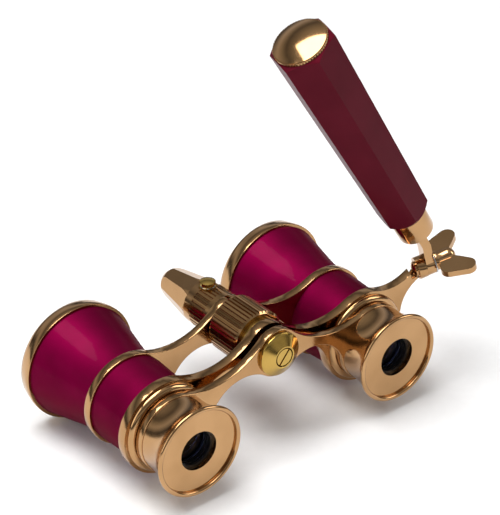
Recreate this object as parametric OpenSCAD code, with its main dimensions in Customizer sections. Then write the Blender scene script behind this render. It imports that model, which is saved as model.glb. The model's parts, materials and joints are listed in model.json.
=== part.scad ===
// Opera glasses with a built-in torch and a telescopic side handle.
// Units are millimetres. X runs to the user's right, Y from the eyepieces to
// the objectives, Z up. The origin is midway between the two barrel axes, in
// the plane of the eyecups' flat faces.

/* [Layout] */
// Barrel axis to the middle plane
eye_half = 31.5; // [31:0.1:32]
// Height of the focusing axis above the barrel axes
hub_z = 10; // [9.8:0.1:10.2]
// Radial gap of a running fit
run_gap = 0.05; // [0.03:0.01:0.08]
// Radial gap of a push fit
push_gap = 0.02; // [0.01:0.01:0.03]
// Sides of a drawn circle
$fn = 72; // [72:12:144]

/* [Bridges] */
// Radius of every bridge plate around the focusing axis
hub_r = 6.5; // [6.3:0.1:6.7]
// Rear face of the eyepiece bridge
eye_plate_y = 8.9; // [8.8:0.1:9]
// Thickness of the eyepiece bridge
eye_plate_t = 2.3; // [2.2:0.1:2.4]
// Rear face of the rear bridge
rear_plate_y = 12.7; // [12.7:0.1:12.8]
// Thickness of the rear bridge
rear_plate_t = 2.5; // [2.4:0.1:2.6]
// Rear face of the front bridge
front_plate_y = 27.7; // [27.7:0.1:27.8]
// Thickness of the front bridge
front_plate_t = 2.3; // [2.2:0.1:2.4]
// Radius of the eyepiece bridge around a barrel
eye_ring_r = 10.4; // [10.3:0.1:10.6]
// Radius of the rear bridge around a barrel
rear_ring_r = 12.6; // [12.4:0.1:12.8]
// Radius of the front bridge around a barrel
front_ring_r = 12.4; // [12.2:0.1:12.6]
// Radius of the hollow along the top of the eyepiece bridge
eye_top_hollow = 22.5; // [22:0.5:23]
// Radius of the hollow along the top of the other bridges
plate_top_hollow = 19.5; // [19:0.5:20]
// Radius of the hollow along the bottom of the eyepiece bridge
eye_low_hollow = 10.9; // [10.8:0.1:11]
// Radius of the hollow along the bottom of the other bridges
plate_low_hollow = 10.5; // [10.4:0.1:10.6]

/* [Barrels] */
// Outer radius of the inner barrel tube
tube_r = 10.4; // [10.3:0.1:10.5]
// Bore of the inner barrel tube
tube_bore = 9.6; // [9.5:0.1:9.7]
// Front end of the inner barrel tube
tube_end_y = 33; // [32.5:0.5:33.5]
// Rear shell's radius at the rear bridge
rear_shell_r = 11.1; // [11:0.1:11.2]
// Rear shell's radius at the front bridge
rear_shell_front_r = 11.7; // [11.6:0.1:11.8]
// Front shell's radius at the front bridge
front_shell_r = 11.45; // [11.4:0.05:11.5]
// Front shell's radius where its flare begins
front_shell_bend_r = 11.83; // [11.8:0.01:11.86]
// Place where the front shell's flare begins
front_shell_bend_y = 35.07; // [35:0.01:35.2]
// Radius of the soft bend into the flare
front_shell_bend_radius = 40; // [35:5:45]
// Front shell's radius at its front end
front_shell_end_r = 15.15; // [15.1:0.05:15.2]
// Front end of the front shell
shell_end_y = 49.2; // [49.1:0.1:49.3]
// Bezel's largest radius
bezel_r = 15.9; // [15.8:0.1:16]
// Bezel's radius at its front face
bezel_front_r = 15.3; // [15.2:0.1:15.4]
// Front face of the bezel
bezel_end_y = 53.6; // [53.5:0.1:53.7]
// Radius of the objective lens
lens_r = 12.5; // [12.4:0.1:12.6]

/* [Eyepieces] */
// Eyecup's radius at its rim
cup_rim_r = 12.2; // [12.15:0.05:12.25]
// How far the rim stands proud of the flat face
cup_rim_rise = 0.9; // [0.8:0.05:0.9]
// Eyecup's radius at its neck
cup_neck_r = 10.15; // [10.1:0.05:10.2]
// Radius of the curve that flares the cup from neck to rim
cup_flare_radius = 16; // [15.9:0.1:16.1]
// Radius of the rounded rim's bead
cup_bead_r = 0.6; // [0.6:0.01:0.62]
// Radius of the viewing hole
cup_hole_r = 5.21; // [5.15:0.02:5.25]
// Radius of the cavity behind the viewing hole
cup_cavity_r = 7.42; // [7.4:0.01:7.44]
// Outer radius of the draw tube
draw_r = 9.35; // [9.3:0.01:9.4]
// Bore of the draw tube
draw_bore = 8.22; // [8.22:0.01:8.3]
// Front end of the draw tube
draw_end_y = 26; // [25:0.5:26.5]
// Radius of the eyepiece lens
ocular_r = 6; // [5.9:0.1:6]

/* [Focusing] */
// Radius of the focusing wheel
wheel_r = 7.65; // [7.6:0.05:7.7]
// Rear face of the focusing wheel
wheel_y = 16.6; // [16.5:0.1:16.7]
// Front face of the focusing wheel
wheel_end_y = 27.3; // [27.2:0.1:27.4]
// Grooves around the focusing wheel
wheel_flutes = 44; // [40:2:48]
// Outer radius of the wheel's bush
bush_r = 3.2; // [3.1:0.1:3.3]
// Radius of the focusing spindle
spindle_r = 2; // [1.9:0.1:2.1]
// Radius of the spindle's slotted head
spindle_head_r = 2.3; // [2.25:0.05:2.35]
// Largest radius of the cone nut
nut_r = 5.9; // [5.8:0.1:6]
// Radius of the washer between the wheel and the rear bridge
drag_washer_r = 6.2; // [6:0.1:6.4]

/* [Torch] */
// Radius of the torch body
torch_r = 6.15; // [6.1:0.05:6.2]
// Grooves around the torch body
torch_flutes = 36; // [32:2:40]
// Front end of the torch body
torch_end_y = 39.7; // [39.7:0.1:39.8]
// Tip of the torch's nose
nose_end_y = 53.7; // [53.6:0.05:53.8]
// Radius of a button cell
cell_r = 3.9; // [3.85:0.05:3.9]
// Thickness of a button cell
cell_length = 3.6; // [3.5:0.1:3.6]
// Rear face of the first button cell
cells_y = 33; // [33:0.01:33.05]
// Place of the press button along the torch
button_y = 37.1; // [37:0.1:37.1]
// Radius of the press button
button_r = 2.1; // [2.05:0.05:2.15]

/* [Handle joint] */
// Joint's centre, from the middle plane
joint_x = 52.7; // [52.6:0.1:52.8]
// Joint's centre, from the eyecups' flat faces
joint_y = 12; // [11.9:0.1:12.1]
// Joint's centre, above the barrel axes
joint_z = 13.95; // [13.9:0.05:14]
// Rise of the pin above the horizontal, in degrees
joint_rise = 15.55; // [15:0.05:16]
// Turn of the pin towards the user, in degrees
joint_turn = 19.6; // [19:0.1:20]
// Centre of the side arm's end, from the middle plane
arm_x = 51.6; // [51.5:0.1:51.7]
// Centre of the side arm's end, above the barrel axes
arm_z = 12.7; // [12.6:0.1:12.8]
// Radius of the side arm's end
arm_r = 2.1; // [2:0.1:2.2]
// Radius of the hollow along the top of the side arm
arm_top_hollow = 14; // [13.5:0.5:14.5]
// Radius of the hollow along the bottom of the side arm
arm_low_hollow = 9; // [9:0.1:9.2]
// Inner face of the lug, along the pin
lug_x = -3.4; // [-3.5:0.1:-3.3]
// Outer face of the lug, along the pin
lug_end_x = -1.2; // [-1.25:0.05:-1.2]
// Radius of the lug
lug_r = 3; // [2.9:0.1:3.1]
// Thickness of the tang
tang_t = 2.3; // [2.2:0.05:2.3]
// Half the width of the tang
tang_half = 2.3; // [2.2:0.1:2.4]
// Radius of the tang's round end
tang_end_r = 2.9; // [2.8:0.1:3]
// Height of the tang's bend above the pin
tang_rise = 7.8; // [7.7:0.1:7.9]
// Radius of the pin
pin_r = 1.2; // [1.1:0.05:1.25]
// Radius of the pin's head
pin_head_r = 2.05; // [2:0.05:2.1]
// Radius of the wing nut's boss
boss_r = 2.1; // [2:0.05:2.2]
// Centre of the dome that ends the boss, along the pin
boss_end_x = 5.5; // [5.4:0.1:5.6]
// Thickness of the wing nut's leaves
leaf_t = 1.7; // [1.6:0.1:1.8]

/* [Handle] */
// Lean of the handle towards the middle plane, in degrees
handle_lean = 31.1; // [31:0.1:31.2]
// Lower end of the ferrule, above the tang's bend
ferrule_start = 5; // [4.9:0.1:5.1]
// Radius of the ferrule
ferrule_r = 4.8; // [4.7:0.1:4.9]
// Lower end of the grip, above the tang's bend
grip_start = 13; // [12.9:0.1:13.1]
// Upper end of the grip, above the tang's bend
grip_end = 79.4; // [79.3:0.1:79.5]
// Grip's radius across its corners, at its lower end
grip_low_r = 6.78; // [6.7:0.02:6.8]
// Grip's radius across its corners, at its upper end
grip_high_r = 8.25; // [8.2:0.05:8.3]
// Turn of the grip about its axis, in degrees
grip_twist = -13.4; // [-15:0.1:-12]
// Radius of the slide tube inside the grip
slide_tube_r = 3.6; // [3.55:0.05:3.65]
// Length of the slide tube
slide_tube_length = 60; // [58:1:60]

/* [Hidden] */
eye_plate_end_y = eye_plate_y + eye_plate_t;
rear_plate_end_y = rear_plate_y + rear_plate_t;
front_plate_end_y = front_plate_y + front_plate_t;
tang_x = -tang_t / 2;
joint_washer_x = tang_t / 2 + 0.05;
joint_washer_t = 0.3;
wing_x = joint_washer_x + joint_washer_t + 0.05;
grip_length = grip_end - grip_start;

// ---------------------------------------------------------------- helpers

// Centre of a circle of radius r that touches circle (a, ra) and circle
// (b, rb) from outside, on the left (side = 1) or the right (side = -1) of
// the line from a to b.
function hollow_centre(a, ra, b, rb, r, side) =
    let (
        gap = norm(b - a),
        along = (pow(ra + r, 2) - pow(rb + r, 2) + gap * gap) / (2 * gap),
        across = sqrt(pow(ra + r, 2) - along * along),
        u = (b - a) / gap
    )
    a + u * along + side * across * [-u[1], u[0]];

// Bar between two discs, waisted by a hollow above and a hollow below. The
// hollows bite a hair into the discs, so that the outlines cross cleanly.
module waisted_bar(a, ra, b, rb, top, low) {
    bite = 0.01;
    high_centre = hollow_centre(a, ra - bite, b, rb - bite, top, 1);
    low_centre = hollow_centre(a, ra - bite, b, rb - bite, low, -1);
    difference() {
        polygon([a, high_centre, b, low_centre]);
        translate(high_centre) circle(r = top);
        translate(low_centre) circle(r = low);
    }
}

// Outline drawn in X and Z, given a thickness along Y from y onwards.
module plate(y, thickness) {
    translate([0, y + thickness, 0])
        rotate([90, 0, 0])
            linear_extrude(thickness)
                children();
}

// Profile drawn as (radius, y), turned about the Y axis.
module turned() {
    rotate([-90, 0, 0])
        rotate_extrude()
            children();
}

module ring(y, end_y, outer, bore) {
    turned()
        translate([bore, y])
            square([outer - bore, end_y - y]);
}

module disc(y, end_y, r) {
    translate([0, y, 0])
        rotate([-90, 0, 0])
            cylinder(r = r, h = end_y - y);
}

module at_barrel(side) {
    translate([side * eye_half, 0, 0])
        children();
}

module at_hub() {
    translate([0, 0, hub_z])
        children();
}

// Joint's centre, with Z along the tang.
module at_pivot() {
    translate([joint_x, joint_y, joint_z])
        rotate([0, -joint_rise, 0])
            children();
}

// Local frame of the joint: X along the pin, outwards, and Z along the tang.
module at_joint() {
    at_pivot()
        rotate([0, 0, -joint_turn])
            children();
}

// Local frame of the handle: Z along its axis, from the bend in the tang.
module at_handle() {
    at_pivot()
        translate([0, 0, tang_rise])
            rotate([0, joint_rise - handle_lean, 0])
                children();
}

// Cylinder along the joint's pin.
module joint_disc(x, end_x, r) {
    translate([x, 0, 0])
        rotate([0, 90, 0])
            cylinder(r = r, h = end_x - x);
}

// Drum outline with V-shaped grooves between narrow flats.
module fluted_outline(r, depth, count) {
    pitch = 360 / count;
    polygon([
        for (i = [0 : count - 1])
            for (corner = [[-0.24, 0], [0.24, 0], [0.42, 1], [0.58, 1]])
                let (a = (i + corner[0]) * pitch, k = r - depth * corner[1])
                [k * cos(a), k * sin(a)]
    ]);
}

// ---------------------------------------------------------------- bridges

// Three discs joined by two waisted bars.
module bridge_blank(y, thickness, ring_r, top, low) {
    hub = [0, hub_z];
    left = [-eye_half, 0];
    right = [eye_half, 0];
    at_hub() disc(y, y + thickness, hub_r);
    for (side = [-1, 1])
        at_barrel(side) disc(y, y + thickness, ring_r);
    plate(y, thickness) waisted_bar(left, ring_r, hub, hub_r, top, low);
    plate(y, thickness) waisted_bar(hub, hub_r, right, ring_r, top, low);
}

module ring_holes(r) {
    for (side = [-1, 1])
        at_barrel(side) disc(0, 60, r);
}

module front_bridge() {
    y = front_plate_y;
    journal_depth = 1.1;
    notch_w = 1;
    color("BurlyWood")
    difference() {
        bridge_blank(y, front_plate_t, front_ring_r, plate_top_hollow, plate_low_hollow);
        ring_holes(tube_r + push_gap);
        at_hub() disc(y - 1, y + journal_depth, 3 + run_gap);
        at_hub() disc(y + journal_depth - 0.1, y + 5, 3.5);
        // Index notch over the focusing wheel
        translate([-notch_w / 2, y - 1, hub_z + hub_r - 0.9])
            cube([notch_w, front_plate_t + 2, 2]);
    }
}

module rear_bridge() {
    color("BurlyWood")
    difference() {
        union() {
            rear_plate();
            at_joint() joint_disc(lug_x, lug_end_x, lug_r);
        }
        at_joint() joint_disc(-5, 0, pin_r + push_gap);
    }
}

// Bridge plate with the side arm, cut square to the pin at the arm's end and
// spot-faced for the pin's head.
module rear_plate() {
    difference() {
        union() {
            bridge_blank(
                rear_plate_y, rear_plate_t, rear_ring_r, plate_top_hollow, plate_low_hollow
            );
            side_arm();
        }
        ring_holes(tube_r + push_gap);
        at_hub() disc(0, 60, bush_r + run_gap);
        at_joint() {
            translate([lug_end_x - 0.05, -10, -10])
                cube([20, 20, 20]);
            joint_disc(-5.5, lug_x + 0.05, pin_head_r + 0.1);
        }
    }
}

// Arm from the right-hand ring up to the handle's joint.
module side_arm() {
    root = [eye_half, 0];
    tip = [arm_x, arm_z];
    plate(rear_plate_y, rear_plate_t)
        waisted_bar(root, rear_ring_r, tip, arm_r, arm_top_hollow, arm_low_hollow);
    plate(rear_plate_y, rear_plate_t)
        translate(tip) circle(r = arm_r);
}

module eyepiece_bridge() {
    color("BurlyWood")
    difference() {
        bridge_blank(eye_plate_y, eye_plate_t, eye_ring_r, eye_top_hollow, eye_low_hollow);
        ring_holes(9 + push_gap);
        at_hub() disc(0, 60, spindle_r + push_gap);
    }
}

// ---------------------------------------------------------------- barrels

module barrel_tube(side) {
    color("Silver")
    at_barrel(side)
        ring(rear_plate_y, tube_end_y, tube_r, tube_bore);
}

module rear_shell(side) {
    y = rear_plate_end_y;
    bore = tube_r + push_gap;
    color("Maroon")
    at_barrel(side)
        turned()
            polygon([
                [bore, y], [rear_shell_r, y],
                [rear_shell_front_r, front_plate_y], [bore, front_plate_y]
            ]);
}

module front_shell(side) {
    y = front_plate_end_y;
    bore = tube_r + push_gap;
    start = [front_shell_r, y];
    bend = [front_shell_bend_r, front_shell_bend_y];
    end = [front_shell_end_r, shell_end_y];
    color("Maroon")
    at_barrel(side)
        turned() {
            polygon([
                [bore, y], start, bend, end, [front_shell_end_r - 0.85, shell_end_y],
                [bore, tube_end_y + 1]
            ]);
            soft_bend(start, bend, end, front_shell_bend_radius);
        }
}

// Fills the hollow corner at b, between the lines to a and c, to radius r.
module soft_bend(a, b, c, r) {
    u = (a - b) / norm(a - b);
    v = (c - b) / norm(c - b);
    half = acos(u * v) / 2;
    reach = r / tan(half);
    middle = b + (u + v) / norm(u + v) * r / sin(half);
    difference() {
        polygon([b, b + u * reach, middle, b + v * reach]);
        translate(middle) circle(r = r, $fn = 720);
    }
}

// Rounded bead that guides the draw tube.
module guide_collar(side) {
    bead = 1.35;
    y = rear_plate_y - bead;
    bore = draw_r + run_gap;
    color("BurlyWood")
    at_barrel(side)
        turned()
            difference() {
                union() {
                    translate([bore, y]) square([10.55 - bore, bead]);
                    translate([10.5, rear_plate_y]) circle(r = bead);
                }
                translate([bore - 1, rear_plate_y]) square([6, 4]);
                translate([bore - 3, y - 1]) square([3, 8]);
            }
}

module bezel(side) {
    seat_y = 47.4;
    skirt_r = 13.45;
    color("BurlyWood")
    at_barrel(side)
        turned()
            polygon([
                [lens_r - 0.6, seat_y - 0.8], [skirt_r, seat_y - 0.8],
                [14.1, shell_end_y], [bezel_r, shell_end_y],
                [bezel_r, shell_end_y + 1.2], [bezel_front_r, bezel_end_y - 0.3],
                [bezel_front_r - 0.3, bezel_end_y], [13.8, bezel_end_y],
                [13.2, 52.4], [lens_r + 0.05, 52.4],
                [lens_r + 0.05, seat_y], [lens_r - 0.6, seat_y]
            ]);
}

// Lens between a strong front curve and a weak back curve.
module objective_lens(side) {
    front_sphere = 38;
    back_sphere = 90;
    front_y = 51.9;
    back_y = 47.3;
    color("LightBlue", 0.5)
    at_barrel(side)
        intersection() {
            disc(47.42, 51, lens_r);
            translate([0, front_y - front_sphere, 0]) sphere(r = front_sphere, $fn = 300);
            translate([0, back_y + back_sphere, 0]) sphere(r = back_sphere, $fn = 300);
        }
}

module objective_ring(side) {
    color("DimGray")
    at_barrel(side)
        ring(51.05, 52.3, lens_r, lens_r - 0.9);
}

// ---------------------------------------------------------------- eyepieces

// Cup that flares from its neck to a beaded rim, with a small viewing hole.
module eyecup(side) {
    floor_y = 1.5;
    flare_y = 7.6;
    flare_step = 0.02;
    spigot_t = 0.76;
    inner = 9;
    bead_x = cup_rim_r - cup_bead_r;
    bead_y = cup_bead_r - cup_rim_rise;
    color("BurlyWood")
    at_barrel(side)
        turned()
            difference() {
                union() {
                    translate([cup_hole_r, 0]) square([inner + 1 - cup_hole_r, eye_plate_y]);
                    translate([bead_x, bead_y]) circle(r = cup_bead_r);
                    translate([bead_x, bead_y]) square([cup_bead_r, 0.1 - bead_y]);
                    translate([inner, 0]) square([cup_rim_r - inner, flare_y]);
                    translate([inner, flare_y - 1]) square([cup_neck_r - inner, eye_plate_y - flare_y + 1]);
                    translate([cup_cavity_r, eye_plate_y - 1]) square([spigot_t, 2.6]);
                }
                translate([cup_neck_r + flare_step + cup_flare_radius, flare_y])
                    circle(r = cup_flare_radius, $fn = 360);
                translate([0, floor_y]) square([cup_cavity_r, 20]);
            }
}

module draw_tube(side) {
    ring_end = eye_plate_end_y;
    color("Silver")
    at_barrel(side)
        turned() {
            translate([draw_bore, eye_plate_y + 0.05])
                square([9 - draw_bore, ring_end - eye_plate_y]);
            translate([draw_bore, ring_end])
                square([draw_r - draw_bore, draw_end_y - ring_end]);
        }
}

// Black inner cell with stepped rings in front of the lens.
module ocular_cell(side) {
    outer = cup_cavity_r - push_gap;
    color("Black")
    at_barrel(side)
        turned()
            polygon([
                [4.7, 1.55], [outer, 1.55], [outer, 9.6], [ocular_r + 0.45, 9.6],
                [ocular_r + 0.45, 6.3], [ocular_r + 0.05, 6.3], [ocular_r + 0.05, 4.3],
                [5, 4.3], [5, 3.9], [5.3, 3.9], [5.3, 3.3], [4.9, 3.3], [4.9, 2.7],
                [5.2, 2.7], [5.2, 2.1], [4.7, 2.1]
            ]);
}

// Small lens hollowed on both faces.
module ocular_lens(side) {
    sphere_r = 16;
    color("LightBlue", 0.5)
    at_barrel(side)
        difference() {
            disc(4.35, 6.25, ocular_r);
            translate([0, 4.75 - sphere_r, 0]) sphere(r = sphere_r);
            translate([0, 5.85 + sphere_r, 0]) sphere(r = sphere_r);
        }
}

module ocular_ring(side) {
    color("DimGray")
    at_barrel(side)
        ring(6.35, 7.6, ocular_r + 0.4, ocular_r - 0.7);
}

// ---------------------------------------------------------------- focusing

// Fluted drum with smooth rounded lips and a journal at the front.
module focus_wheel() {
    lip = 0.55;
    color("BurlyWood")
    at_hub()
        difference() {
            union() {
                intersection() {
                    plate(wheel_y, wheel_end_y - wheel_y)
                        fluted_outline(wheel_r, 0.42, wheel_flutes);
                    turned()
                        polygon([
                            [0, wheel_y], [wheel_r - lip, wheel_y], [wheel_r, wheel_y + lip],
                            [wheel_r, wheel_end_y - lip], [wheel_r - lip, wheel_end_y],
                            [0, wheel_end_y]
                        ]);
                }
                disc(wheel_y, wheel_y + 0.8, wheel_r - lip);
                disc(wheel_end_y - 1.1, wheel_end_y, wheel_r - lip);
                disc(wheel_end_y, wheel_end_y + 1.35, 3);
            }
            disc(wheel_y - 1, wheel_end_y - 0.7, bush_r + push_gap);
        }
}

// Brass bush that carries the inner thread and runs in the rear bridge.
module wheel_bush() {
    color("Gold")
    at_hub()
        ring(rear_plate_y + 0.1, wheel_end_y - 0.75, bush_r, spindle_r + run_gap);
}

module thrust_washer() {
    color("Silver")
    at_hub()
        ring(wheel_end_y + 0.05, front_plate_y - 0.02, 4.6, 3 + run_gap);
}

module drag_washer() {
    color("Gold")
    at_hub()
        ring(rear_plate_end_y + 0.02, wheel_y - 0.05, drag_washer_r, bush_r + run_gap);
}

// Threaded rod fixed in the eyepiece bridge, with a slotted end.
module focus_spindle() {
    head_y = 6.4;
    slot_depth = 0.6;
    slot_w = 0.5;
    slot_turn = -50;
    color("Gold")
    at_hub()
        difference() {
            union() {
                disc(head_y, eye_plate_y, spindle_head_r);
                disc(eye_plate_y, 25.2, spindle_r);
            }
            rotate([0, slot_turn, 0])
                translate([-3, head_y - 1, -slot_w / 2])
                    cube([6, 1 + slot_depth, slot_w]);
        }
}

module cone_nut() {
    bore = 2.6;
    face_y = 6.3;
    color("Gold")
    at_hub()
        turned()
            polygon([
                [bore, face_y], [3, face_y], [5.35, 7.75], [nut_r, 8.05],
                [nut_r, eye_plate_y], [bore, eye_plate_y]
            ]);
}

// ---------------------------------------------------------------- torch

module torch_body() {
    y = front_plate_end_y;
    flute_y = y + 1.6;
    flute_end = 37.3;
    color("BurlyWood")
    at_hub()
        difference() {
            union() {
                disc(y, flute_y, torch_r + 0.03);
                plate(flute_y, flute_end - flute_y)
                    fluted_outline(torch_r, 0.35, torch_flutes);
                disc(flute_end, torch_end_y, torch_r - 0.15);
                disc(y - 1.15, y, 3.48);
            }
            disc(y + 1.4, torch_end_y + 1, 4.3);
            disc(y - 2, y + 2, 0.9);
            translate([0, button_y, 5.45])
                cylinder(r = 2.35, h = 3);
            translate([0, button_y, 3])
                cylinder(r = 0.95, h = 4);
        }
}

// Tapered nose cut with eight long facets.
module torch_nose() {
    bore = cell_r + 0.1;
    color("BurlyWood")
    at_hub()
        difference() {
            union() {
                intersection() {
                    turned()
                        polygon([
                            [0, torch_end_y], [6, torch_end_y], [5.75, 42.4], [5.3, 46.3],
                            [4.75, 49.8], [3.95, 52.1], [3.1, 53.3], [2.6, nose_end_y],
                            [0, nose_end_y]
                        ]);
                    nose_facets();
                }
                disc(torch_end_y - 1.4, torch_end_y + 0.5, 4.27);
            }
            disc(30, 50.2, bore);
            disc(50.1, 51.4, 2.9);
            disc(51.3, 60, 1.7);
        }
}

// Eight-sided spike whose sides give the nose its facets.
module nose_facets() {
    facet_lean = 9;
    difference() {
        disc(torch_end_y, nose_end_y, 7);
        for (i = [0 : 7])
            rotate([0, 45 * i + 22.5, 0])
                translate([5.75, torch_end_y, -8])
                    rotate([0, 0, facet_lean])
                        cube([10, 30, 16]);
    }
}

module torch_window() {
    color("LightBlue", 0.5)
    at_hub()
        disc(50.25, 51.3, 2.85);
}

// Round lamp with a flange and a domed end.
module torch_led() {
    color("Ivory")
    at_hub() {
        disc(44.95, 45.9, 2.8);
        disc(45.9, 48.2, 2.4);
        intersection() {
            disc(48.2, 51, 2.4);
            translate([0, 47.2, 0]) sphere(r = 2.6);
        }
    }
}

module led_board() {
    color("DarkGreen")
    at_hub()
        disc(43.95, 44.9, cell_r);
}

// Coin cell with a smaller, raised pole face.
module coin_cell(index) {
    y = cells_y + index * (cell_length + 0.02);
    color("Silver")
    at_hub() {
        disc(y, y + 0.35, cell_r - 0.7);
        disc(y + 0.35, y + cell_length, cell_r);
    }
}

// Dished spring plate behind the cells.
module contact_spring() {
    color("Gold")
    at_hub()
        turned()
            polygon([
                [1.2, 32.75], [1.2, 32.95], [1.6, 32.95], [3.9, 31.65], [3.9, 31.45], [3.5, 31.45]
            ]);
}

module button_seat() {
    color("Gold")
    translate([0, button_y, hub_z + 5.47])
        difference() {
            cylinder(r = 2.3, h = 0.5);
            translate([0, 0, -1]) cylinder(r = 1, h = 3);
        }
}

// Domed spring washer under the button.
module button_spring() {
    color("Silver")
    translate([0, button_y, hub_z + 6])
        rotate_extrude()
            polygon([[1.05, 0.42], [1.05, 0.52], [1.25, 0.52], [1.95, 0.1], [1.95, 0], [1.75, 0]]);
}

// Press button with a milled edge and a plunger.
module torch_button() {
    color("Gold")
    translate([0, button_y, hub_z + 6.55]) {
        linear_extrude(0.75)
            fluted_outline(button_r, 0.15, 18);
        translate([0, 0, 0.75])
            intersection() {
                cylinder(r = button_r - 0.15, h = 0.5);
                translate([0, 0, -5.7]) sphere(r = 6.05);
            }
        translate([0, 0, -2.1])
            cylinder(r = 0.9, h = 2.2);
    }
}

// ---------------------------------------------------------------- handle

// Pin screwed into the lug, with a slotted round head.
module pivot_pin() {
    color("BurlyWood")
    at_joint()
        difference() {
            union() {
                joint_disc(-3.8, boss_end_x, pin_r);
                joint_disc(-4, lug_x, pin_head_r);
                intersection() {
                    joint_disc(-5, -3.9, pin_head_r);
                    translate([-1.4, 0, 0]) sphere(r = 3.28);
                }
            }
            translate([-5, -4, -0.3])
                cube([0.9, 8, 0.6]);
        }
}

// Flat tang on the pin, bent to the handle's lean at its top.
module handle_tang() {
    color("BurlyWood") {
        at_joint()
            difference() {
                union() {
                    joint_disc(tang_x, tang_x + tang_t, tang_end_r);
                    translate([tang_x, -tang_half, 0])
                        cube([tang_t, 2 * tang_half, tang_rise]);
                }
                joint_disc(-5, 5, pin_r + run_gap);
            }
        at_handle()
            rotate([0, 0, -joint_turn])
                translate([tang_x, -tang_half, -0.4])
                    cube([tang_t, 2 * tang_half, ferrule_start + 0.4]);
    }
}

module joint_washer() {
    color("Silver")
    at_joint()
        difference() {
            joint_disc(joint_washer_x, joint_washer_x + joint_washer_t, lug_r);
            joint_disc(0, 5, pin_r + run_gap);
        }
}

// Nut with two leaves in one plane and a domed boss.
module wing_nut() {
    flange_t = 1;
    color("BurlyWood")
    at_joint()
        difference() {
            union() {
                joint_disc(wing_x, wing_x + flange_t, 2.6);
                joint_disc(wing_x + flange_t - 0.2, boss_end_x + 0.2, boss_r);
                translate([boss_end_x, 0, 0]) sphere(r = boss_r + 0.05);
                leaf(-1);
                leaf(1);
            }
            joint_disc(0, boss_end_x + 0.3, pin_r + run_gap);
        }
}

// Rounded leaf beside the boss: side = 1 is the far one, -1 the near one.
module leaf(side) {
    translate([0, 0, -leaf_t / 2])
        linear_extrude(leaf_t)
            hull() {
                translate([4.4, side * 1.6]) circle(r = 1.7, $fn = 32);
                translate([3.95, side * 5]) circle(r = 2.3, $fn = 32);
                translate([7.2, side * 4.9]) circle(r = 2, $fn = 32);
                translate([8.3, side * 6.6]) circle(r = 2.3, $fn = 32);
            }
}

// Thimble that closes the lower end of the handle.
module ferrule() {
    color("BurlyWood")
    at_handle()
        difference() {
            union() {
                translate([0, 0, ferrule_start])
                    cylinder(r1 = ferrule_r - 0.5, r2 = ferrule_r, h = 0.5);
                translate([0, 0, ferrule_start + 0.5])
                    cylinder(r = ferrule_r, h = grip_start - ferrule_start - 0.6);
            }
            translate([0, 0, grip_start - 3])
                cylinder(r = slide_tube_r + push_gap, h = 10);
        }
}

module slide_tube() {
    color("Silver")
    at_handle()
        translate([0, 0, grip_start - 2.95])
            difference() {
                cylinder(r = slide_tube_r, h = slide_tube_length);
                translate([0, 0, -1])
                    cylinder(r = slide_tube_r - 0.5, h = slide_tube_length + 2);
            }
}

// Friction collar at the hidden end of the slide tube.
module slide_collar() {
    z = grip_start + slide_tube_length - 2.93;
    color("DimGray")
    at_handle()
        difference() {
            translate([0, 0, z]) cylinder(r = 4.4, h = 4);
            translate([0, 0, z + 1]) cylinder(r = 2.6, h = 10);
        }
}

// Six-sided tapered sleeve, chamfered to a circle at both ends.
module grip_shell() {
    length = grip_length;
    flat_low = grip_low_r * cos(30);
    taper = atan((grip_high_r - grip_low_r) * cos(30) / length);
    color("Maroon")
    at_handle()
        translate([0, 0, grip_start])
            difference() {
                rotate_extrude()
                    polygon([
                        [0, 0], [5.35, 0], [grip_low_r + 0.2, 2.2],
                        [grip_high_r + 0.1, length - 0.8], [7.05, length], [0, length]
                    ]);
                for (i = [0 : 5])
                    rotate([0, 0, 60 * i + grip_twist])
                        translate([flat_low, -10, 0])
                            rotate([0, taper, 0])
                                translate([0, 0, -5])
                                    cube([10, 20, length + 10]);
                translate([0, 0, -1])
                    cylinder(r = 4.45, h = length + 2);
            }
}

// Bush in the sleeve's lower end that runs on the slide tube.
module grip_bush() {
    color("DimGray")
    at_handle()
        translate([0, 0, grip_start + 0.05])
            difference() {
                cylinder(r = 4.43, h = 5);
                translate([0, 0, -1])
                    cylinder(r = slide_tube_r + run_gap, h = 10);
            }
}

// Domed cap with a milled rim, plugged into the sleeve.
module end_cap() {
    rim_t = 0.7;
    color("BurlyWood")
    at_handle()
        translate([0, 0, grip_end]) {
            linear_extrude(rim_t)
                fluted_outline(6.95, 0.16, 60);
            translate([0, 0, rim_t])
                intersection() {
                    cylinder(r = 6.6, h = 3);
                    translate([0, 0, -14.5]) sphere(r = 16);
                }
            translate([0, 0, -2.5])
                cylinder(r = 4.43, h = 2.6);
        }
}

// ---------------------------------------------------------------- pieces

front_bridge();
rear_bridge();
barrel_tube(-1);  // barrel_tube_left
barrel_tube(1);  // barrel_tube_right
rear_shell(-1);  // rear_shell_left
rear_shell(1);  // rear_shell_right
front_shell(-1);  // front_shell_left
front_shell(1);  // front_shell_right
guide_collar(-1);  // guide_collar_left
guide_collar(1);  // guide_collar_right
bezel(-1);  // bezel_left
bezel(1);  // bezel_right
objective_lens(-1);  // objective_lens_left
objective_lens(1);  // objective_lens_right
objective_ring(-1);  // objective_ring_left
objective_ring(1);  // objective_ring_right
eyepiece_bridge();
eyecup(-1);  // eyecup_left
eyecup(1);  // eyecup_right
draw_tube(-1);  // draw_tube_left
draw_tube(1);  // draw_tube_right
ocular_cell(-1);  // ocular_cell_left
ocular_cell(1);  // ocular_cell_right
ocular_lens(-1);  // ocular_lens_left
ocular_lens(1);  // ocular_lens_right
ocular_ring(-1);  // ocular_ring_left
ocular_ring(1);  // ocular_ring_right
focus_wheel();
wheel_bush();
thrust_washer();
drag_washer();
focus_spindle();
cone_nut();
torch_body();
torch_nose();
torch_window();
torch_led();
led_board();
coin_cell(0);  // cell_1
coin_cell(1);  // cell_2
coin_cell(2);  // cell_3
contact_spring();
button_seat();
button_spring();
torch_button();
pivot_pin();
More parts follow.
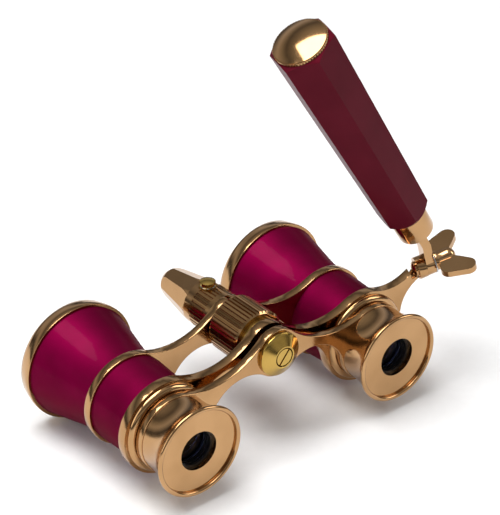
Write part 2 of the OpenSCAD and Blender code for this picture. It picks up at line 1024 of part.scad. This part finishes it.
handle_tang();
joint_washer();
wing_nut();
ferrule();
slide_tube();
slide_collar();
grip_shell();
grip_bush();
end_cap();
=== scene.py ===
"""Opera glasses with a torch and a side handle: finishes, studio and camera."""
import json
import math

import bpy
from mathutils import Matrix, Vector


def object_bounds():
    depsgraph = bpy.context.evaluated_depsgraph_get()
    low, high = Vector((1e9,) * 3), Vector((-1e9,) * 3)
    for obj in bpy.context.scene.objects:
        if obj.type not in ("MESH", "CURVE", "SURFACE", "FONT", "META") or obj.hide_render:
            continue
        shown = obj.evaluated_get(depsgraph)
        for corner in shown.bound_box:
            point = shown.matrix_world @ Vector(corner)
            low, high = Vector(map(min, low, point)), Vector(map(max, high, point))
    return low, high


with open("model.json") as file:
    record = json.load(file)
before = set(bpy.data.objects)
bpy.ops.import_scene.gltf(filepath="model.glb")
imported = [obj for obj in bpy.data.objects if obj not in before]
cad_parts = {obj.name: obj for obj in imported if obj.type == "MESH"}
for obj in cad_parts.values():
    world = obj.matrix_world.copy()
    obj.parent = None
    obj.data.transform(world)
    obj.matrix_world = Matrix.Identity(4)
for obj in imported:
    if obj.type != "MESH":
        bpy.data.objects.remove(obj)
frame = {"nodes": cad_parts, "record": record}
cad_low, cad_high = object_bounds()
NODES = frame["nodes"]
MM = 0.001
# Noise mostly lies between these two values
NOISE_LOW = 0.3
NOISE_HIGH = 0.7


# ---------------------------------------------------------------- materials

def fill_ramp(color_ramp, stops):
    """Sets a colour ramp's stops from (position, (red, green, blue)) pairs."""
    elements = color_ramp.elements
    while len(elements) < len(stops):
        elements.new(0.5)
    for element, (position, colour) in zip(elements, stops):
        element.position = position
        element.color = (*colour, 1)


class Finish:
    """A node material, with a short call for each kind of node it uses."""

    def __init__(self, name):
        self.material = bpy.data.materials.new(name)
        self.material.use_nodes = True
        tree = self.material.node_tree
        self.nodes = tree.nodes
        self.links = tree.links
        self.bsdf = self.nodes["Principled BSDF"]
        self.place = self.nodes.new("ShaderNodeTexCoord").outputs["Object"]

    def put(self, socket, value):
        """Sets an input of the shader, to a number or colour or to a node's output."""
        target = self.bsdf.inputs[socket]
        if isinstance(value, bpy.types.NodeSocket):
            self.links.new(value, target)
        else:
            target.default_value = value

    def stretched(self, factors):
        """The place coordinates, scaled along each axis."""
        node = self.nodes.new("ShaderNodeMapping")
        node.inputs["Scale"].default_value = factors
        self.links.new(self.place, node.inputs["Vector"])
        return node.outputs["Vector"]

    def noise(self, scale, detail, factors=(1, 1, 1)):
        """Noise fixed to the piece, stretched along each axis by factors."""
        node = self.nodes.new("ShaderNodeTexNoise")
        node.inputs["Scale"].default_value = scale
        node.inputs["Detail"].default_value = detail
        self.links.new(self.stretched(factors), node.inputs["Vector"])
        return node.outputs["Fac"]

    def spread(self, value, low, high):
        """Maps the usual span of noise to the span from low to high."""
        node = self.nodes.new("ShaderNodeMapRange")
        node.inputs["From Min"].default_value = NOISE_LOW
        node.inputs["From Max"].default_value = NOISE_HIGH
        node.inputs["To Min"].default_value = low
        node.inputs["To Max"].default_value = high
        self.links.new(value, node.inputs["Value"])
        return node.outputs["Result"]

    def ramp(self, value, stops):
        """Turns a value into a colour that runs through the stops."""
        node = self.nodes.new("ShaderNodeValToRGB")
        fill_ramp(node.color_ramp, stops)
        self.links.new(value, node.inputs["Fac"])
        return node.outputs["Color"]

    def mottled(self, noise, first, second):
        """A colour that drifts with the noise, from first to second."""
        return self.ramp(noise, [(NOISE_LOW, first), (NOISE_HIGH, second)])

    def mix(self, factor, first, second):
        """Blends a colour output into a plain colour as factor rises."""
        node = self.nodes.new("ShaderNodeMixRGB")
        self.links.new(factor, node.inputs["Fac"])
        self.links.new(first, node.inputs["Color1"])
        node.inputs["Color2"].default_value = (*second, 1)
        return node.outputs["Color"]

    def bump(self, height, strength, distance):
        """Roughens the surface by height, without moving it."""
        node = self.nodes.new("ShaderNodeBump")
        node.inputs["Strength"].default_value = strength
        node.inputs["Distance"].default_value = distance
        self.links.new(height, node.inputs["Height"])
        self.links.new(node.outputs["Normal"], self.bsdf.inputs["Normal"])

    def facing(self, blend):
        """Rises from 0 where a surface faces the viewer to 1 where it turns away."""
        node = self.nodes.new("ShaderNodeLayerWeight")
        node.inputs["Blend"].default_value = blend
        return node.outputs["Facing"]


def polished_metal(name, base, shade, roughness):
    """Plated metal: a tone that drifts a little, with faint handling marks."""
    wear = 0.05
    finish = Finish(name)
    drift = finish.noise(90, 2)
    finish.put("Base Color", finish.ramp(drift, [(0.35, shade), (0.65, base)]))
    finish.put("Metallic", 1.0)
    marks = finish.noise(900, 4)
    finish.put("Roughness", finish.spread(marks, roughness, roughness + wear))
    finish.bump(finish.noise(260, 2), 0.02, 0.1 * MM)
    return finish.material


def satin_metal(name, base, roughness, grain=(1, 18, 1)):
    """Turned or drawn metal, with fine grain along one axis."""
    finish = Finish(name)
    lines = finish.noise(700, 3, grain)
    dull = tuple(0.82 * c for c in base)
    finish.put("Base Color", finish.mottled(lines, dull, base))
    finish.put("Metallic", 1.0)
    finish.put("Roughness", finish.spread(lines, roughness * 0.8, roughness * 1.2))
    finish.bump(lines, 0.05, 0.05 * MM)
    return finish.material


def enamel(name, deep, bright, grazing_shade, roughness, metallic, coat):
    """Tinted enamel over metal flake under a thin glossy coat, with painted shade where it turns away from
    the viewer.
    """
    roughness_drift = 0.03
    finish = Finish(name)
    drift = finish.noise(120, 2)
    flake = finish.noise(9000, 1)
    body = finish.mottled(drift, deep, bright)
    # Painted shade: the colour darkens towards a dark shade colour where the surface turns away from the
    # viewer
    finish.put("Base Color", finish.mix(finish.facing(0.25), body, grazing_shade))
    finish.put("Metallic", metallic)
    finish.put("Specular Tint", (0.45, 0.12, 0.22, 1))
    finish.put("Roughness", finish.spread(flake, roughness - roughness_drift, roughness + roughness_drift))
    finish.put("Coat Weight", coat)
    finish.put("Coat Roughness", finish.spread(finish.noise(500, 4), 0.03, 0.08))
    finish.put("Coat IOR", 1.4)
    finish.put("Specular IOR Level", 0.06)
    finish.bump(flake, 0.03, 0.02 * MM)
    return finish.material


def plain_plastic(name, base, roughness):
    """Moulded plastic or blacked metal with a fine grain."""
    finish = Finish(name)
    grain = finish.noise(1500, 4)
    dull = tuple(0.75 * c for c in base)
    roughness_drift = 0.06
    finish.put("Base Color", finish.mottled(grain, dull, base))
    finish.put("Roughness", finish.spread(grain, roughness - roughness_drift, roughness + roughness_drift))
    finish.bump(grain, 0.1, 0.02 * MM)
    return finish.material


def coated_glass(name, tint):
    """Clear lens glass with a faint coloured coating."""
    finish = Finish(name)
    finish.put("Base Color", (*tint, 1))
    finish.put("Roughness", finish.spread(finish.noise(300, 3), 0.0, 0.02))
    finish.put("IOR", 1.52)
    finish.put("Transmission Weight", 1.0)
    finish.put("Coat Weight", 0.5)
    finish.put("Coat Tint", (0.55, 0.65, 1.0, 1))
    return finish.material


GILT = polished_metal("gilt", (0.49, 0.285, 0.132), (0.42, 0.238, 0.105), 0.10)
BRASS = polished_metal("brass", (0.56, 0.37, 0.10), (0.46, 0.29, 0.07), 0.15)
ENAMEL = enamel(
    "burgundy_enamel",
    deep=(0.150, 0.0, 0.028),
    bright=(0.195, 0.0, 0.038),
    # painted shade colour for where the enamel turns away from the viewer
    grazing_shade=(0.08, 0.008, 0.024),
    roughness=0.55,
    metallic=0.8,
    coat=0.05,
)
LACQUER = enamel(
    "burgundy_lacquer",
    deep=(0.095, 0.005, 0.013),
    bright=(0.115, 0.007, 0.017),
    # painted shade colour for where the lacquer turns away from the viewer
    grazing_shade=(0.06, 0.004, 0.012),
    roughness=0.34,
    metallic=0.2,
    coat=0.03,
)
TUBE = satin_metal("tube_metal", (0.62, 0.5, 0.38), 0.2)
STEEL = satin_metal("steel", (0.6, 0.6, 0.61), 0.25)
BLACK_METAL = plain_plastic("black_metal", (0.012, 0.012, 0.013), 0.32)
BLACK_PLASTIC = plain_plastic("black_plastic", (0.02, 0.02, 0.02), 0.5)
LAMP = plain_plastic("lamp_plastic", (0.85, 0.82, 0.7), 0.2)
BOARD = plain_plastic("board", (0.02, 0.14, 0.06), 0.35)
LENS = coated_glass("lens_glass", (0.97, 0.985, 1.0))

SLOT_FINISH = {
    "gilt": GILT,
    "brass": BRASS,
    "enamel": ENAMEL,
    "lacquer": LACQUER,
    "tube_metal": TUBE,
    "steel": STEEL,
    "black_metal": BLACK_METAL,
    "black_plastic": BLACK_PLASTIC,
    "lamp_plastic": LAMP,
    "board": BOARD,
    "lens_glass": LENS,
}


def paint(obj, material):
    """Gives an object one material in place of all others."""
    obj.data.materials.clear()
    obj.data.materials.append(material)


def paint_nodes():
    """Gives each CAD node the finish of its material slot in the record."""
    for part in frame["record"]["subparts"]:
        paint(NODES[part["node"]], SLOT_FINISH[part["material_slot"]])


# ---------------------------------------------------------------- edges

def round_edges(obj, width):
    """Softens the sharp edges of a CAD node, without changing its mesh."""
    weld = obj.modifiers.new("weld", "WELD")
    weld.merge_threshold = 0.0005 * MM
    bevel = obj.modifiers.new("round", "BEVEL")
    bevel.width = width
    bevel.segments = 3
    bevel.limit_method = "ANGLE"
    bevel.angle_limit = math.radians(35)
    bevel.harden_normals = True


# Width of the rounding on each node with soft edges, in mm
EDGE_WIDTHS = {
    "front_bridge": 0.22,
    "rear_bridge": 0.22,
    "eyepiece_bridge": 0.22,
    "grip_shell": 0.35,
    "ferrule": 0.25,
    "handle_tang": 0.25,
    "wing_nut": 0.3,
    "cone_nut": 0.1,
    "bezel_left": 0.12,
    "bezel_right": 0.12,
}


def round_all_edges():
    """Rounds every node named in EDGE_WIDTHS."""
    for name, width in EDGE_WIDTHS.items():
        round_edges(NODES[name], width * MM)


# ---------------------------------------------------------------- studio

def glow(name, place, aim, width, height, power):
    """A soft rectangular light at place, facing aim."""
    data = bpy.data.lights.new(name, "AREA")
    data.shape = "RECTANGLE"
    data.size = width
    data.size_y = height
    data.energy = power
    obj = bpy.data.objects.new(name, data)
    obj.location = place
    obj.rotation_euler = (Vector(aim) - Vector(place)).to_track_quat("-Z", "Y").to_euler()
    bpy.context.scene.collection.objects.link(obj)


# The brightness of the world that the metal reflects, from straight down to straight up
STUDIO_STOPS = [(0.0, 0.4), (0.48, 0.3), (0.56, 0.06), (0.66, 0.55), (0.78, 0.12), (1.0, 0.6)]


def studio_levels(nodes, links):
    """The studio's brightness by height: light and dark bands, as in a light tent."""
    direction = nodes.new("ShaderNodeTexCoord")
    split = nodes.new("ShaderNodeSeparateXYZ")
    links.new(direction.outputs["Generated"], split.inputs["Vector"])
    height = nodes.new("ShaderNodeMapRange")
    height.inputs["From Min"].default_value = -1.0
    height.inputs["From Max"].default_value = 1.0
    links.new(split.outputs["Z"], height.inputs["Value"])
    ramp = nodes.new("ShaderNodeValToRGB")
    fill_ramp(ramp.color_ramp, [(position, (level, level, level)) for position, level in STUDIO_STOPS])
    links.new(height.outputs["Result"], ramp.inputs["Fac"])
    return ramp.outputs["Color"]


def white_room():
    """A world that the camera sees as plain white and the metal sees as a studio."""
    world = bpy.data.worlds.new("studio")
    bpy.context.scene.world = world
    world.use_nodes = True
    nodes = world.node_tree.nodes
    links = world.node_tree.links
    nodes.clear()
    studio = nodes.new("ShaderNodeBackground")
    links.new(studio_levels(nodes, links), studio.inputs["Color"])
    studio.inputs["Strength"].default_value = 1.0
    plain = nodes.new("ShaderNodeBackground")
    plain.inputs["Color"].default_value = (1, 1, 1, 1)
    plain.inputs["Strength"].default_value = 1.0
    path = nodes.new("ShaderNodeLightPath")
    mix = nodes.new("ShaderNodeMixShader")
    links.new(path.outputs["Is Camera Ray"], mix.inputs["Fac"])
    links.new(studio.outputs["Background"], mix.inputs[1])
    links.new(plain.outputs["Background"], mix.inputs[2])
    output = nodes.new("ShaderNodeOutputWorld")
    links.new(mix.outputs["Shader"], output.inputs["Surface"])


def pale_floor():
    """A large pale floor just under the lowest point of the part at rest."""
    reach = 6.0
    gap = 0.05 * MM
    bpy.ops.mesh.primitive_plane_add(size=reach)
    floor = bpy.context.object
    floor.name = "floor"
    floor.location = (0, 0, cad_low.z - gap)
    finish = Finish("floor_paper")
    grain = finish.noise(400, 4)
    finish.put("Base Color", finish.mottled(grain, (0.90, 0.90, 0.90), (0.92, 0.92, 0.92)))
    finish.put("Roughness", 0.8)
    floor.data.materials.append(finish.material)


def lights():
    """One large light overhead and a weaker one on each side, all aimed at the barrels."""
    barrels = (0, 0.02, 0.0)
    glow("top_light", (-0.15, 0.1, 0.7), barrels, width=0.5, height=0.5, power=5.6)
    glow("left_light", (-0.7, 0.1, 0.35), barrels, width=0.3, height=0.6, power=1.0)
    glow("right_light", (0.6, -0.3, 0.4), barrels, width=0.25, height=0.4, power=1.25)


# ---------------------------------------------------------------- camera

def photo_camera():
    """The photographed view: a long lens from behind, above and to the left."""
    azimuth = math.radians(-38.19)
    elevation = math.radians(31.01)
    roll = math.radians(-0.63)
    distance = 505.97 * MM
    off_right = 12.52 * MM
    off_down = 35.55 * MM
    lens = 144.25
    back = Vector((
        math.sin(azimuth) * math.cos(elevation),
        -math.cos(azimuth) * math.cos(elevation),
        math.sin(elevation),
    ))
    level_right = Vector((math.cos(azimuth), math.sin(azimuth), 0))
    level_up = back.cross(level_right)
    right = level_right * math.cos(roll) + level_up * math.sin(roll)
    up = back.cross(right)
    data = bpy.data.cameras.new("camera")
    data.lens = lens
    data.sensor_width = 36
    data.sensor_fit = "AUTO"
    data.clip_start = 0.01
    camera = bpy.data.objects.new("camera", data)
    bpy.context.scene.collection.objects.link(camera)
    place = back * distance - right * off_right + up * off_down
    turn = Matrix((right, up, back)).transposed().to_4x4()
    camera.matrix_world = Matrix.Translation(place) @ turn
    bpy.context.scene.camera = camera


bpy.context.scene.view_settings.view_transform = "Standard"
paint_nodes()
round_all_edges()
white_room()
pale_floor()
lights()
photo_camera()
